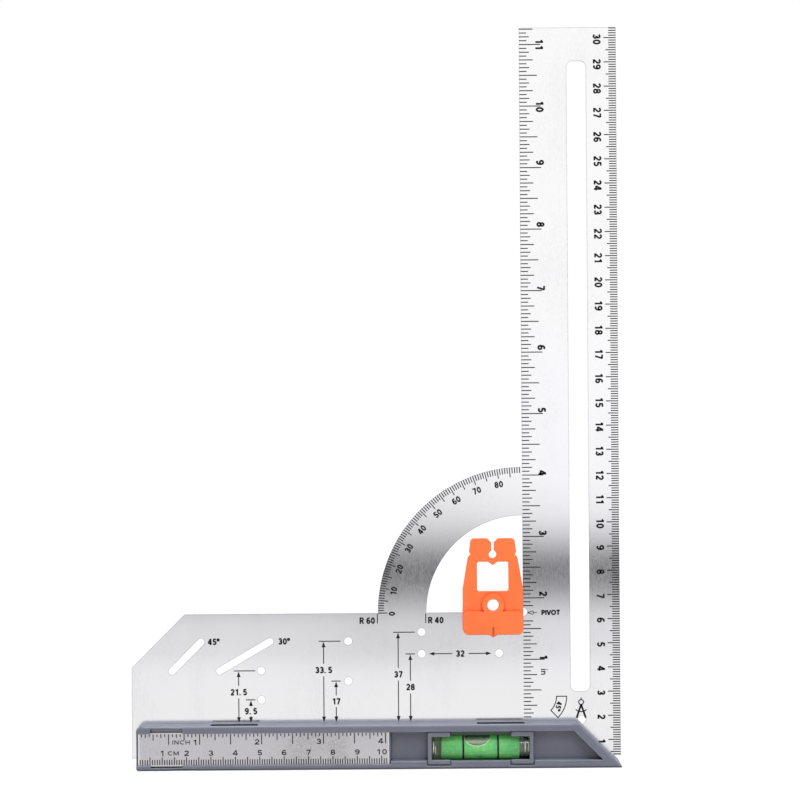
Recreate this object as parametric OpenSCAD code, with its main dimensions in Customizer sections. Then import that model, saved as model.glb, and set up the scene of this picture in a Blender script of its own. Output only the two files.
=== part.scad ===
// Combination L-square, standing on its handle: a stamped steel sheet with blade, foot and
// protractor ring, a two-shell handle with a pull-out depth rule and a spirit vial, and a
// marking slider clipped on the foot. X runs along the handle, Y from front to back, Z up the blade.

/* [Steel sheet] */
// Thickness of the stamped sheet
plate_t = 1.0; // [0.8:0.1:1.5]
// Width of the blade
blade_w = 40; // [36:1:50]
// Height of the blade's top above the handle's underside
blade_h = 304.6; // [250:0.1:420]
// Rounding of the blade's top corners
blade_r = 0.5; // [0.2:0.1:1]
// Length of the foot to the left of the blade
foot_len = 162; // [150:1:200]
// Height of the foot above the handle's stop face
foot_h = 45; // [42:1:60]
// Legs of the corner cut off the foot's top left
foot_chamfer = 22; // [10:1:30]
// Rounding of the two corners of that cut
chamfer_r = 1.5; // [0.5:0.1:3]
// How far the sheet's lower edge lies above the handle's underside
sheet_z0 = 3.8; // [3:0.1:5]

/* [Protractor ring] */
// Outer radius of the quarter ring
ring_r = 60; // [55:1:75]
// Inner radius of the quarter ring
ring_bore_r = 40; // [38:1:48]
// Diameter of the notch at the ring's centre, for a pivot pin
pivot_d = 3.4; // [2:0.1:5]

/* [Blade slot] */
// Width of the long slot
slot_w = 8; // [5:0.5:10]
// Distance from the blade's left edge to the slot
slot_inset = 19.5; // [15:0.5:22]
// Height of the slot's lower end above the handle's underside
slot_z0 = 30.3; // [26:0.1:60]
// Distance from the slot's upper end to the blade's top
slot_top_gap = 13.8; // [10:0.1:40]
// Rounding of the slot's corners
slot_r = 2.5; // [1:0.1:2.5]

/* [Gauge holes] */
// Diameter of the pencil holes
hole_d = 3.3; // [2:0.1:4]
// Distance between the columns of holes nearest the blade
hole_pitch = 32; // [24:1:36]
// Distance from the blade's edge to the nearest column
hole_inset = 10; // [8:1:14]
// Heights of those two columns' holes above the stop face
hole_rows = [28, 37]; // [24:0.5:40]
// The third column: distance from the blade's edge
hole3_x = 72.4; // [66:0.1:90]
// The third column: heights above the stop face
hole3_rows = [17, 33.5]; // [12:0.5:36]
// The fourth column: distance from the blade's edge
hole4_x = 108.4; // [100:0.1:120]
// The fourth column: heights above the stop face
hole4_rows = [9.5, 21.5]; // [8:0.5:26]
// Distance from the blade's edge to the compass hole at the stop face
compass_x = 24; // [20:0.5:28]
// Height of that hole's middle above the stop face
compass_z = 0.2; // [0:0.1:1]

/* [Angle slots] */
// Width of the slots for drawing 45 and 30 degree lines
angle_slot_w = 3; // [2:0.1:4]
// Height of their lower ends above the stop face
angle_slot_z0 = 21.5; // [16:0.5:26]
// Height from the lower to the upper end
angle_slot_h = 12; // [8:0.5:16]
// Distance from the foot's left edge to the 45 degree slot's lower end
slot45_x = 16.7; // [10:0.1:20]
// Distance from the foot's left edge to the 30 degree slot's lower end
slot30_x = 36.4; // [34:0.1:44]

/* [Handle] */
// Height of the handle, from its underside to the stop face
handle_h = 18.3; // [17:0.1:22]
// Thickness of each shell, from the sheet's face outwards
shell_t = 9; // [8.8:0.1:10]
// How far the foot stands out past the handle's left end
handle_inset = 2.5; // [0:0.1:6]
// Angle of the mitre at the right end
mitre_a = 45; // [42:1:50]
// Rounding of the mitre's tip
tip_r = 0.5; // [0.4:0.1:1.5]
// How far that tip lies inside the blade's right edge
tip_inset = 0.3; // [0:0.1:1]
// Rounding of the top left corner
corner_r = 2.2; // [1.5:0.1:4]
// Rounding of the long edges and the lower left corner
edge_r = 1; // [0.5:0.1:1.4]
// Wall of the hollow shells
wall = 2.2; // [1.6:0.1:2.6]
// Wall behind the rule's groove
groove_wall = 1.6; // [1.2:0.1:1.9]
// Thickness of the ribs inside the shells
rib_t = 1.4; // [1:0.1:2.5]
// Greatest distance between two ribs
rib_pitch = 18; // [12:1:30]

/* [Depth rule] */
// Length of the rule
rule_len = 102.9; // [85:0.1:108]
// Width of the rule
rule_w = 13.6; // [11:0.1:14]
// Thickness of the rule
rule_t = 1.0; // [0.8:0.1:1.4]
// Height of the vial brackets' middle line above the handle's underside
channel_z = 8.5; // [8.4:0.1:10]
// How far the rule's middle line lies above that line
rule_rise = 0.25; // [0:0.05:0.4]
// How far the rims lap over each edge of the rule
rule_lip = 0.3; // [0.3:0.1:1]
// Thickness of those laps
lip_t = 0.6; // [0.4:0.1:1]
// How far the rule's end lies inside the handle's left end
rule_inset = 0.9; // [0:0.1:2]
// Distance between the rule's right end and the end of its groove
rule_end_gap = 0.6; // [0.2:0.1:2]

/* [Thumb notches] */
// Length of the notches that bare the rule's edges
notch_len = 13.2; // [8:0.1:20]
// Distance from the handle's left end to the notches
notch_x = 5.9; // [4:0.1:12]
// Depth of the notches, from the rims' front
notch_depth = 1.8; // [1.7:0.1:2.6]
// How far the upper notch reaches into the rim
notch_reach = 2.1; // [1:0.1:2.1]
// How far the lower notch reaches into the rim
notch_low = 0.9; // [0.5:0.1:1.2]
// Height of the shallow nick in the underside's front edge
nick_depth = 0.7; // [0.2:0.1:0.8]
// How far the nick reaches back from the rims' front
nick_back = 1.3; // [0.8:0.1:3]
// Length of that nick
nick_len = 10.7; // [6:0.1:14]
// Distance from the handle's left end to the nick
nick_x = 14.1; // [8:0.1:20]

/* [Sockets] */
// Length of the two sockets in the stop face
socket_w = 19.6; // [16:0.1:20]
// Width of each socket from front to back
socket_t = 4.6; // [3.3:0.1:5]
// Wall between each socket and the handle's front
socket_wall = 1.2; // [1.1:0.1:2.5]
// Depth of the sockets
socket_depth = 1.8; // [1:0.1:2]
// Distance from the blade's edge to the left socket
socket_gap = 109.6; // [90:0.1:115]

/* [Vial pocket] */
// Height of the pocket's lower edge above the underside
pocket_z0 = 3.4; // [2.6:0.1:3.8]
// Width of the rim above the pocket
pocket_rim = 3.0; // [2.4:0.1:3.2]
// Width of the rim along the mitre
mitre_rim = 3.6; // [2.5:0.1:5]
// Depth of the pocket
pocket_depth = 3.9; // [3.6:0.1:4.2]
// Thickness of the pocket's floor
floor_t = 1.4; // [1:0.1:1.8]

/* [Vial brackets] */
// Length of a bracket's arms, its bar included
bracket_len = 9; // [6:0.1:12]
// Thickness of a bracket's bar, past the vial's end
bracket_bar = 1.5; // [1.2:0.1:3]
// Height over both arms
bracket_h = 13.1; // [12.4:0.1:13.2]
// Opening between the arms
bracket_gap = 9.5; // [9.2:0.1:9.6]
// How far the arms' front lies behind the rims
bracket_drop = 0.3; // [0.2:0.1:1.5]
// Width of the sunk margin round each bracket's lower arm
bracket_margin = 0.6; // [0.4:0.1:1]
// Depth of that margin, from the rims' front
margin_depth = 0.7; // [0.5:0.1:1.5]
// Rounding of the brackets' corners
bracket_r = 0.8; // [0.3:0.1:0.9]

/* [Vial] */
// Length of the vial
vial_len = 40; // [34:0.1:42]
// Outer diameter of the vial
vial_d = 9.6; // [9.4:0.1:9.8]
// Distance from the vial's middle to the blade's left edge
vial_gap = 18.2; // [17:0.1:20]
// How far the vial's front lies behind the rims
vial_drop = 0.2; // [0.1:0.1:0.8]
// How far the vial's axis lies below the rule's middle line
vial_low = 0.1; // [0:0.05:0.2]
// Wall of the tube
vial_wall = 0.9; // [0.7:0.1:1.2]
// Length of the closed end, and of the plug at the other end
vial_end = 4.2; // [2:0.1:5]
// How much wider the bore is in the middle than at its ends
barrel = 0.15; // [0.1:0.01:0.3]
// Distance between the two lines
line_gap = 14.3; // [12:0.1:17]
// Width of a line
line_w = 0.7; // [0.3:0.05:1]
// Thickness of the ink
line_t = 0.05; // [0.03:0.01:0.08]
// Length of the bubble
bubble_len = 10.7; // [8:0.1:12]
// Diameter of the bubble
bubble_d = 4.4; // [3:0.1:4.8]
// Distance from the vial's middle to the bubble, towards the left
bubble_off = 1.4; // [0:0.1:3]
// Room round the bubble in the fluid
bubble_gap = 0.25; // [0.2:0.01:0.4]
// Fluid left at each end of the bubble's run
bubble_film = 0.6; // [0.3:0.1:1.5]

/* [Back shell] */
// Length of the window behind the vial
window_len = 33; // [26:0.5:33]
// Height of that window
window_h = 8.6; // [6:0.1:9]
// Rounding of that window's corners
window_r = 1.5; // [0.5:0.1:2.5]
// Depth of the sunk panel on the back
panel_depth = 0.5; // [0.3:0.1:1]
// Margin round that panel
panel_margin = 3.2; // [2.5:0.1:5]
// Rounding of that panel's corners
panel_r = 2.5; // [1:0.1:4]

/* [Screws] */
// Diameter of a screw's shank
screw_d = 3; // [2.5:0.1:3.2]
// Diameter of its head
head_d = 5.6; // [5:0.1:6]
// Height of its head
head_h = 2; // [1.5:0.1:2.4]
// Gap round the head in its well
head_gap = 0.4; // [0.2:0.1:0.6]
// Wall round the well
well_wall = 1.4; // [1:0.1:1.8]
// Wall round the shank, in the front shell
screw_wall = 1.9; // [1.4:0.1:2.4]
// Thickness of the shell under the head
screw_seat = 2.7; // [2:0.1:3]
// Depth of the shank in the front shell
screw_bite = 3.1; // [2:0.1:3.2]
// Distance from the handle's left end to the first screw
screw_end = 11; // [8:0.5:15]
// Distance from the vial's right end to the last screw
screw_last = 11; // [10:0.5:13]

/* [Marking slider] */
// Width of the slider over its pad
slider_w = 24.9; // [22:0.1:26]
// Thickness of its body, in front of the sheet
slider_t = 3; // [2.4:0.1:3.2]
// How much the pad and the boss stand out of the body
pad_t = 1.5; // [0.8:0.1:2.5]
// How far the pad and the back jaw reach down over the foot
jaw_h = 8.9; // [6:0.1:12]
// Thickness of the back jaw
jaw_t = 2; // [1.4:0.1:3]
// Height of the bridge over the foot's top edge
bridge_h = 2.5; // [2:0.1:4]
// Height of the body above the foot's top edge
head_z = 30.7; // [28:0.1:34]
// Diameter of the pencil hole
pencil_d = 4.8; // [3:0.1:5.4]
// Height of the pencil hole above the foot's top edge
pencil_z = 3.3; // [3:0.1:4.5]
// Wall of the boss round the pencil hole
boss_wall = 2.2; // [1.5:0.1:3]
// How much wider the pencil hole is at the back, on each side
back_flare = 0.8; // [0.4:0.1:0.9]
// Width of the reading window
sight_w = 13; // [10:0.1:15]
// Lower edge of the reading window above the foot's top edge
sight_z0 = 8.9; // [8.6:0.1:10]
// Height of the reading window
sight_h = 12.2; // [8:0.1:12.4]
// Rounding of the window's corners
sight_r = 0.9; // [0.3:0.1:2]
// Width of the pointer at the window's top
sight_tip_w = 4; // [2:0.1:6]
// Depth of that pointer
sight_tip_h = 1.4; // [0.6:0.1:2]
// Rounding of the pad's lower corners
pad_r = 2.4; // [1:0.1:4]
// Height of the pad's top above the foot's top edge
pad_top = 0.7; // [0.4:0.1:1.5]
// Rounding of the pad's upper corners
pad_top_r = 2; // [0.5:0.1:2.5]
// Width of the pointer under the pad
tip_w = 3.6; // [2:0.1:5]
// Depth of that pointer
tip_h = 1.1; // [0.6:0.1:2]
// Width of the groove above that pointer
mark_w = 0.7; // [0.3:0.1:1]
// Length of that groove
mark_len = 3; // [1:0.5:6]
// Depth of that groove
mark_t = 0.4; // [0.2:0.1:1]
// Depth of the nicks under the head
nick_in = 1.1; // [0.5:0.1:1.5]
// Height of those nicks
nick_h = 2.2; // [1.4:0.1:3]
// Rounding of the head's corners
head_r = 1.6; // [1:0.1:3]
// Diameter of the keyhole in the head
key_d = 3.2; // [2:0.1:4]
// Distance from the window's top to the middle of the keyhole
key_gap = 3; // [2.4:0.1:3.6]
// Width of the slit from the keyhole to the head's top
slit_w = 1.1; // [0.8:0.1:1.6]
// Width and height of the bevel on each side of that slit's mouth
slit_cut = 1.7; // [0.5:0.1:2.2]

/* [Clearances] */
// Running gap on each side of a sliding piece
run_gap = 0.05; // [0.03:0.01:0.1]
// Gap between a rule's edges and its groove
rule_gap = 0.1; // [0.05:0.01:0.2]
// Gap between the vial and its seat
seat_gap = 0.1; // [0.08:0.01:0.15]
// Gap of parts that are pressed, screwed or filled in
fit_gap = 0.02; // [0.01:0.01:0.04]
// Gap round the screws in the sheet and the back shell
bolt_gap = 0.2; // [0.1:0.05:0.4]

/* [Hidden] */
$fn = 64;
// Overshoot of cuts past the faces that they open
over = 1;

// Colours, as red, green and blue
STEEL = [0.78, 0.78, 0.80];
HANDLE = [0.46, 0.47, 0.51];
ORANGE = [1.0, 0.48, 0.27];
CLEAR = [0.80, 0.88, 0.82];
GREEN = [0.35, 0.80, 0.40];
INK = [0.05, 0.06, 0.05];

// The sheet's edges; its overall width is centred on X = 0
sheet_x0 = -(foot_len + blade_w) / 2;
blade_x0 = sheet_x0 + foot_len;
blade_x1 = blade_x0 + blade_w;
sheet_y = plate_t / 2;
foot_z1 = handle_h + foot_h;

// The handle's outline; its mitre is the line x sin(a) + z cos(a) = mitre_d
handle_x0 = sheet_x0 + handle_inset;
handle_y = sheet_y + shell_t;
tip_x = blade_x1 - tip_inset - tip_r;
mitre_d = tip_x * sin(mitre_a) + tip_r * cos(mitre_a) + tip_r;
function mitre_x(z, inset = 0) = (mitre_d - inset - z * cos(mitre_a)) / sin(mitre_a);

// The rule and its groove
rule_x0 = handle_x0 + rule_inset;
rule_x1 = rule_x0 + rule_len;
rule_y0 = -handle_y + lip_t + run_gap;
rule_y1 = rule_y0 + rule_t;
groove_x1 = rule_x1 + rule_end_gap;
groove_y1 = rule_y1 + run_gap;
rule_z = channel_z + rule_rise;
mouth_w = rule_w - 2 * rule_lip;

// The thumb notches
notch_x0 = handle_x0 + notch_x;
notch_y = -handle_y + notch_depth;
nick_y = -handle_y + nick_back;

// The vial and its pocket
vial_r = vial_d / 2;
vial_x = blade_x0 - vial_gap;
vial_x0 = vial_x - vial_len / 2;
vial_x1 = vial_x + vial_len / 2;
vial_y = -handle_y + vial_drop + vial_r;
vial_z = channel_z - vial_low;
bore_r = vial_r - vial_wall;
bore_len = vial_len - 2 * vial_end;
bubble_r = bubble_d / 2;
bubble_x = vial_x - bubble_off;
bubble_z = vial_z + bore_r - barrel - fit_gap - bubble_r;
// How far the bubble runs to each side of the vial's middle
bubble_travel = (bore_len - bubble_len) / 2 - bubble_gap - bubble_film;
pocket_z1 = handle_h - pocket_rim;
pocket_y = -handle_y + pocket_depth;
bracket_end = bracket_bar + seat_gap;

// The sockets in the stop face: the right one ends at the blade's left edge
socket_x = [blade_x0 - socket_gap - socket_w, blade_x0 - socket_w];

// The shells' inside: behind the rule it is deeper than behind the pocket
bay_y_rule = groove_y1 + groove_wall;
bay_y_pocket = pocket_y + floor_t;
bay_split = groove_x1 + wall;
vial_block = bracket_end + rib_t;
// Right end of the last bay: it stays clear of the mitre's wall
bay_x1 = mitre_x(handle_h - wall, wall);

// The screws' places
screw_z = handle_h / 2;
screw_x1 = handle_x0 + screw_end;
screw_x3 = (groove_x1 + vial_x0 - bracket_end) / 2;
screw_x4 = vial_x1 + screw_last;
screw_x = [screw_x1, (screw_x1 + screw_x3) / 2, screw_x3, screw_x4];
boss_r = screw_d / 2 + screw_wall;
well_r = head_d / 2 + head_gap;

// The screws' points, and the crosses in their heads
point_len = screw_d * 0.35;
point_r = screw_d * 0.3;
cross_len = head_d * 0.6;
cross_w = head_d * 0.16;
cross_z = head_h * 0.45;

// The slider: its right side lies against the blade's edge
slider_x = blade_x0 - run_gap - slider_w / 2;
slider_y = sheet_y + run_gap;

// The slider narrows towards its head: heights above the foot's top edge, and half widths
taper_z = head_z * 0.32;
neck_z = head_z * 0.75;
neck_w = slider_w * 0.41;
head_w = slider_w * 0.39;
head_top_w = slider_w * 0.37;

// Extrudes a drawing of the XZ plane from depth y0 to depth y1
module slab(y0, y1) {
    translate([0, y1, 0]) rotate([90, 0, 0]) linear_extrude(y1 - y0) children();
}

// A rectangle between two corners
module rect(x0, z0, x1, z1) {
    translate([x0, z0]) square([x1 - x0, z1 - z0]);
}

// A rectangle between two corners, with round corners
module round_rect(x0, z0, x1, z1, r) {
    rect(x0 + r, z0, x1 - r, z1);
    rect(x0, z0 + r, x1, z1 - r);
    for (x = [x0 + r, x1 - r], z = [z0 + r, z1 - r]) translate([x, z]) circle(r);
}

// A slot with round ends, from one point, at an angle, with a given rise
module round_slot(x, z, a, rise, w) {
    run = rise / tan(a);
    translate([x, z]) {
        circle(w / 2);
        translate([run, rise]) circle(w / 2);
        rotate(a) translate([0, -w / 2]) square([rise / sin(a), w]);
    }
}

// A rod along X, centred in length on x
module rod(x, y, z, r, len) {
    translate([x - len / 2, y, z]) rotate([0, 90, 0]) cylinder(r = r, h = len);
}

// Steel sheet

module blade_outline() {
    rect(blade_x0, sheet_z0, blade_x1, blade_h - blade_r);
    rect(blade_x0 + blade_r, sheet_z0, blade_x1 - blade_r, blade_h);
    for (x = [blade_x0 + blade_r, blade_x1 - blade_r]) translate([x, blade_h - blade_r])
        circle(blade_r);
}

// The foot, with its top left corner cut off at 45 degrees and the cut's two corners round
module foot_outline() {
    cut_x = sheet_x0 + foot_chamfer;
    cut_z = foot_z1 - foot_chamfer;
    // Distance from such a corner to where its arc begins
    t = chamfer_r * tan(22.5);
    polygon([[sheet_x0, sheet_z0], [blade_x0, sheet_z0], [blade_x0, foot_z1],
             [cut_x + t, foot_z1], [cut_x - t * cos(45), foot_z1 - t * sin(45)],
             [sheet_x0 + t * cos(45), cut_z + t * sin(45)], [sheet_x0, cut_z - t]]);
    intersection() {
        translate([cut_x + t, foot_z1 - chamfer_r]) circle(chamfer_r);
        rect(sheet_x0, cut_z, cut_x + t, foot_z1);
    }
    intersection() {
        translate([sheet_x0 + chamfer_r, cut_z - t]) circle(chamfer_r);
        rect(sheet_x0, cut_z - t, cut_x, foot_z1);
    }
}

// The quarter ring, centred where the foot's top edge meets the blade's left edge
module ring_outline() {
    translate([blade_x0, foot_z1]) intersection() {
        difference() {
            circle(ring_r, $fn = 180);
            circle(ring_bore_r, $fn = 180);
        }
        rect(-ring_r - over, -over, over, ring_r + over);
    }
}

// The pencil holes, each as [x, z]
function hole_places() = concat(
    [for (i = [0, 1], z = hole_rows) [blade_x0 - hole_inset - i * hole_pitch, handle_h + z]],
    [for (z = hole3_rows) [blade_x0 - hole3_x, handle_h + z]],
    [for (z = hole4_rows) [blade_x0 - hole4_x, handle_h + z]],
    [[blade_x0 + compass_x, handle_h + compass_z]]);

module sheet_holes() {
    for (p = hole_places()) translate(p) circle(hole_d / 2);
    translate([blade_x0, foot_z1]) circle(pivot_d / 2);
    round_slot(sheet_x0 + slot45_x, handle_h + angle_slot_z0, 45, angle_slot_h, angle_slot_w);
    round_slot(sheet_x0 + slot30_x, handle_h + angle_slot_z0, 30, angle_slot_h, angle_slot_w);
    round_rect(blade_x0 + slot_inset, slot_z0,
               blade_x0 + slot_inset + slot_w, blade_h - slot_top_gap, slot_r);
    for (x = screw_x) translate([x, screw_z]) circle(screw_d / 2 + bolt_gap);
    // The notch that the vial lies in, inside the handle
    rect(vial_x0 - seat_gap * 2, 0, vial_x1 + seat_gap * 2, vial_z + vial_r + seat_gap);
}

module steel_plate() {
    color(STEEL) slab(-sheet_y, sheet_y) difference() {
        union() {
            blade_outline();
            foot_outline();
            ring_outline();
        }
        sheet_holes();
    }
}

// Handle

module handle_outline() {
    n = [sin(mitre_a), cos(mitre_a)];
    tip = [tip_x, tip_r];
    polygon([[handle_x0 + edge_r, 0], [tip_x, 0], tip + tip_r * n, [mitre_x(handle_h), handle_h],
             [handle_x0 + corner_r, handle_h], [handle_x0, handle_h - corner_r],
             [handle_x0, edge_r]]);
    translate(tip) circle(tip_r);
    translate([handle_x0 + edge_r, edge_r]) circle(edge_r);
    translate([handle_x0 + corner_r, handle_h - corner_r]) circle(corner_r);
}

// Section of a cutter that rounds an edge at the origin, of a body in the quadrant below left
module edge_section() {
    difference() {
        translate([-edge_r, -edge_r]) square(edge_r + over);
        translate([-edge_r, -edge_r]) circle(edge_r);
    }
}

// Cutter for an edge that runs towards -X from the origin, of a body behind it and below it
module edge_cutter(len) {
    rotate([90, 0, -90]) linear_extrude(len) edge_section();
}

// Cutter for a quarter turn of an outline corner of radius r round the origin, from angle a
module corner_cutter(r, a) {
    rotate([90, 0, 0]) rotate(a) rotate_extrude(angle = 90) difference() {
        translate([r - edge_r, -edge_r]) square(edge_r + over);
        translate([r - edge_r, -edge_r]) circle(edge_r);
    }
}

// One half of the handle as a solid bar, front side, with all its outer edges round
module handle_half() {
    top_len = mitre_x(handle_h) - handle_x0 - corner_r;
    difference() {
        slab(-handle_y, 0) handle_outline();
        translate([mitre_x(handle_h) + over, -handle_y, handle_h]) edge_cutter(top_len + over);
        translate([blade_x1 + over, -handle_y, 0]) mirror([0, 0, 1])
            edge_cutter(blade_x1 + over - handle_x0 - edge_r);
        translate([handle_x0, -handle_y, edge_r]) rotate([0, 0, 180])
            linear_extrude(handle_h - corner_r - edge_r) edge_section();
        translate([mitre_x(-over), -handle_y, -over]) rotate([0, mitre_a, 0])
            edge_cutter((handle_h + 2 * over) / sin(mitre_a));
        translate([handle_x0 + corner_r, -handle_y, handle_h - corner_r])
            corner_cutter(corner_r, 90);
        translate([handle_x0 + edge_r, -handle_y, edge_r]) corner_cutter(edge_r, 180);
    }
}

// The room that the sheet takes between the two halves
module sheet_room() {
    slab(-sheet_y, sheet_y) rect(sheet_x0, sheet_z0 - fit_gap, blade_x1 + over, blade_h);
}

// The groove that the rule slides in, with its mouth between the laps of the rims
module rule_groove() {
    x0 = handle_x0 - over;
    w = rule_w + 2 * rule_gap;
    slab(rule_y0 - run_gap, groove_y1)
        rect(x0, rule_z - w / 2, groove_x1, rule_z + w / 2);
    slab(-handle_y - over, groove_y1)
        rect(x0, rule_z - mouth_w / 2, groove_x1, rule_z + mouth_w / 2);
}

module thumb_notches() {
    x1 = notch_x0 + notch_len;
    z0 = rule_z - mouth_w / 2;
    z1 = rule_z + mouth_w / 2;
    slab(-handle_y - over, notch_y) {
        rect(notch_x0, z1 - over, x1, z1 + notch_reach);
        rect(notch_x0, z0 - notch_low, x1, z0 + over);
    }
    slab(-handle_y - over, nick_y)
        rect(handle_x0 + nick_x, -over, handle_x0 + nick_x + nick_len, nick_depth);
}

module sockets() {
    y = -handle_y + socket_wall;
    for (x = socket_x) slab(y, y + socket_t)
        rect(x, handle_h - socket_depth, x + socket_w, handle_h + over);
}

// The pocket that holds the vial: it follows the mitre
module pocket_outline() {
    polygon([[groove_x1, pocket_z0], [mitre_x(pocket_z0, mitre_rim), pocket_z0],
             [mitre_x(pocket_z1, mitre_rim), pocket_z1], [groove_x1, pocket_z1]]);
}

// The shallow margins in the lower rim, round the brackets' lower arms
module bracket_margins() {
    for (x0 = [vial_x0 - bracket_end, vial_x1 + bracket_end - bracket_len])
        rect(x0 - bracket_margin, channel_z - bracket_h / 2 - bracket_margin,
             x0 + bracket_len + bracket_margin, channel_z);
}

// The left bracket, open to the right; the other one is its mirror image
module bracket_outline() {
    x0 = vial_x0 - bracket_end;
    x1 = x0 + bracket_len;
    difference() {
        round_rect(x0, channel_z - bracket_h / 2, x1, channel_z + bracket_h / 2, bracket_r);
        rect(x0 + bracket_bar, vial_z - bracket_gap / 2, x1 + over, vial_z + bracket_gap / 2);
    }
}

module brackets() {
    slab(-handle_y + bracket_drop, pocket_y) {
        bracket_outline();
        translate([2 * vial_x, 0]) mirror([1, 0]) bracket_outline();
    }
}

// The seat of the vial, a trough through the pocket's floor
module vial_seat() {
    rod(vial_x, vial_y, vial_z, vial_r + seat_gap, vial_len + 2 * seat_gap);
}

// One row of hollow bays between ribs, from x0 to x1 and from depth y0 to depth y1
module bays(x0, x1, y0, y1) {
    count = ceil((x1 - x0) / rib_pitch);
    pitch = (x1 - x0 + rib_t) / count;
    for (i = [0 : count - 1]) slab(y0, y1)
        rect(x0 + i * pitch, wall, x0 + (i + 1) * pitch - rib_t, handle_h - wall);
}

module handle_front() {
    color(HANDLE) difference() {
        union() {
            difference() {
                handle_half();
                rule_groove();
                slab(-handle_y - over, pocket_y) pocket_outline();
                slab(-handle_y - over, -handle_y + margin_depth) bracket_margins();
            }
            brackets();
        }
        difference() {
            union() {
                bays(handle_x0 + wall, bay_split - wall, bay_y_rule, over);
                bays(bay_split, vial_x0 - vial_block, bay_y_pocket, over);
                bays(vial_x1 + vial_block, bay_x1, bay_y_pocket, over);
            }
            for (x = screw_x) translate([x, over * 2, screw_z]) rotate([90, 0, 0])
                cylinder(r = boss_r, h = handle_y + over);
            // Walls round the sockets
            for (x = socket_x) slab(-handle_y, over * 2)
                rect(x - rib_t, handle_h - socket_depth - rib_t, x + socket_w + rib_t, handle_h);
        }
        sheet_room();
        thumb_notches();
        sockets();
        vial_seat();
        for (x = screw_x) translate([x, 0, screw_z]) rotate([90, 0, 0])
            cylinder(r = screw_d / 2 + fit_gap, h = sheet_y + screw_bite + fit_gap);
    }
}

module handle_back() {
    x1 = vial_x - window_len / 2 - panel_margin;
    color(HANDLE) difference() {
        mirror([0, 1, 0]) handle_half();
        difference() {
            union() {
                bays(handle_x0 + wall, vial_x0 - vial_block, -over, handle_y - wall);
                bays(vial_x1 + vial_block, bay_x1, -over, handle_y - wall);
            }
            for (x = screw_x) translate([x, handle_y, screw_z]) rotate([90, 0, 0])
                cylinder(r = well_r + well_wall, h = handle_y + 2 * over);
        }
        sheet_room();
        vial_seat();
        // The window that lets light through the vial
        slab(-over, handle_y + over)
            round_rect(vial_x - window_len / 2, vial_z - window_h / 2,
                       vial_x + window_len / 2, vial_z + window_h / 2, window_r);
        // The sunk panel
        slab(handle_y - panel_depth, handle_y + over)
            round_rect(handle_x0 + panel_margin, panel_margin,
                       x1, handle_h - panel_margin, panel_r);
        for (x = screw_x) translate([x, handle_y + over, screw_z]) rotate([90, 0, 0]) {
            cylinder(r = well_r, h = handle_y + over - sheet_y - screw_seat);
            cylinder(r = screw_d / 2 + bolt_gap, h = handle_y + 2 * over);
        }
    }
}

// A pan head screw with a cross recess; its head rests at the origin and its shank points down
module screw() {
    shank = screw_seat + plate_t + screw_bite;
    difference() {
        union() {
            translate([0, 0, point_len - shank]) cylinder(r = screw_d / 2, h = shank - point_len);
            translate([0, 0, -shank]) cylinder(r1 = point_r, r2 = screw_d / 2, h = point_len);
            rotate_extrude() intersection() {
                square([head_d / 2, head_h]);
                translate([0, head_h - head_d]) circle(head_d);
            }
        }
        for (a = [0, 90]) rotate(a) translate([-cross_len / 2, -cross_w / 2, cross_z])
            cube([cross_len, cross_w, head_h]);
    }
}

module handle_screws() {
    color(STEEL) for (x = screw_x)
        translate([x, sheet_y + screw_seat, screw_z]) rotate([-90, 0, 0]) screw();
}

module depth_rule() {
    color(STEEL) slab(rule_y0, rule_y1)
        rect(rule_x0, rule_z - rule_w / 2, rule_x1, rule_z + rule_w / 2);
}

// Vial

// A barrel along X round the vial's axis: radius r in the middle, less by the barrel at its ends
module barrel_solid(r, len) {
    side = [for (t = [-1 : 0.25 : 1]) [r - barrel * t * t, t * len / 2]];
    translate([vial_x, vial_y, vial_z]) rotate([0, 90, 0]) rotate_extrude()
        polygon(concat([[0, -len / 2]], side, [[0, len / 2]]));
}

module vial_tube() {
    color(CLEAR) difference() {
        rod(vial_x, vial_y, vial_z, vial_r, vial_len);
        barrel_solid(bore_r, bore_len);
        rod(vial_x1, vial_y, vial_z, bore_r - barrel, 2 * vial_end + fit_gap);
    }
}

module vial_plug() {
    color(CLEAR) rod(vial_x1 - vial_end / 2, vial_y, vial_z, bore_r - barrel - fit_gap, vial_end);
}

// The bubble's form, a rod with round ends that reaches further by travel to both sides of x
module bubble_form(x, r, travel) {
    half = bubble_len / 2 - bubble_r + travel;
    rod(x, vial_y, bubble_z, r, 2 * half);
    for (side = [-1, 1]) translate([x + side * half, vial_y, bubble_z]) sphere(r);
}

// The fluid leaves a way open along the top of the bore for the bubble to run in
module vial_fluid() {
    color(GREEN) difference() {
        barrel_solid(bore_r - fit_gap, bore_len - 2 * fit_gap);
        bubble_form(vial_x, bubble_r + bubble_gap, bubble_travel);
    }
}

module vial_bubble() {
    color(CLEAR) bubble_form(bubble_x, bubble_r, 0);
}

// One ring of ink round the tube, to the left (-1) or right (1) of the vial's middle
module vial_line(side) {
    x = vial_x + side * line_gap / 2;
    color(INK) difference() {
        rod(x, vial_y, vial_z, vial_r + line_t, line_w);
        rod(x, vial_y, vial_z, vial_r, line_w + over);
    }
}

module vial_line_left() { vial_line(-1); }

module vial_line_right() { vial_line(1); }

// Marking slider, drawn round its middle line with z = 0 at the foot's top edge

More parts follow.
